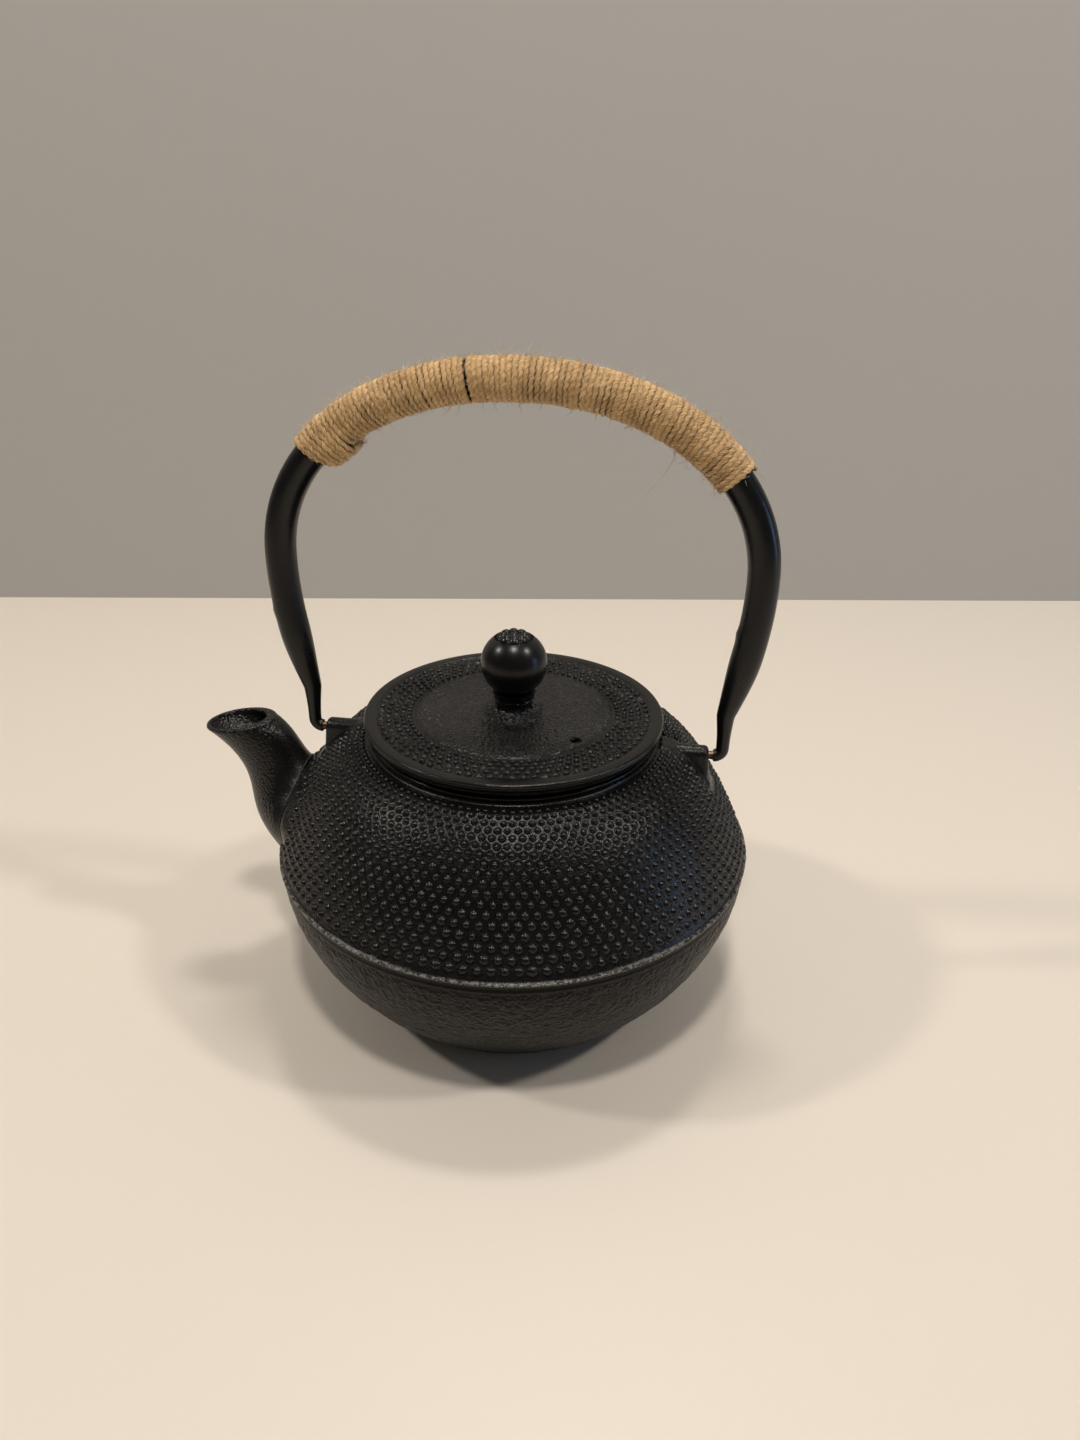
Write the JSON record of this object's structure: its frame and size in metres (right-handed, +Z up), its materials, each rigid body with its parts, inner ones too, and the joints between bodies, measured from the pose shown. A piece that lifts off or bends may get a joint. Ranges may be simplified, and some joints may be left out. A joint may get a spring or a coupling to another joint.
{
  "type": "cast iron teapot",
  "caption": "Black cast iron teapot with a hobnailed shoulder and lid, a ball knob, a short spout, a swinging bail wrapped in twine, and a lift-out stainless infuser.",
  "frame": {"origin": "centre of the foot, on the surface that the pot stands on", "axes": "+Z up; X along the line through the two bail lugs, with the spout towards -X; +Y towards the back as the pot is seen with its spout on the left"},
  "size_m": [0.1819, 0.1544, 0.2054],
  "materials": {
    "iron": "satin black coating over sand-cast hobnails",
    "knob_enamel": "semi-gloss black",
    "bail_black": "semi-gloss black paint on steel tube",
    "twine": "wound jute twine",
    "steel": "brushed stainless"
  },
  "bodies": {
    "pot": {"pot_body": "iron"},
    "lid_group": {"lid": "iron", "knob": "knob_enamel", "knob_collar": "knob_enamel", "knob_spacer": "steel", "knob_screw": "steel", "screw_washer": "steel"},
    "bail_group": {"bail": "bail_black", "bail_wrap": "twine"},
    "infuser": {"infuser_rim": "steel", "infuser_wall": "steel", "infuser_band": "steel", "infuser_floor": "steel"}
  },
  "joints": [
    {"name": "bail_swing", "type": "hinge", "parent": "pot", "child": "bail_group", "pos_m": [0, 0, 0.0879], "axis": [1, 0, 0], "range_deg": [-117, 122]},
    {"name": "lid_lift", "type": "slide", "parent": "pot", "child": "lid_group", "axis": [0, 0, 1], "range_m": [0, 0.06]},
    {"name": "infuser_lift", "type": "slide", "parent": "pot", "child": "infuser", "axis": [0, 0, 1], "range_m": [0, 0.054]}
  ],
  "couplings": [
    {"joint": "infuser_lift", "follows": "lid_lift", "ratio": 0.9}
  ]
}
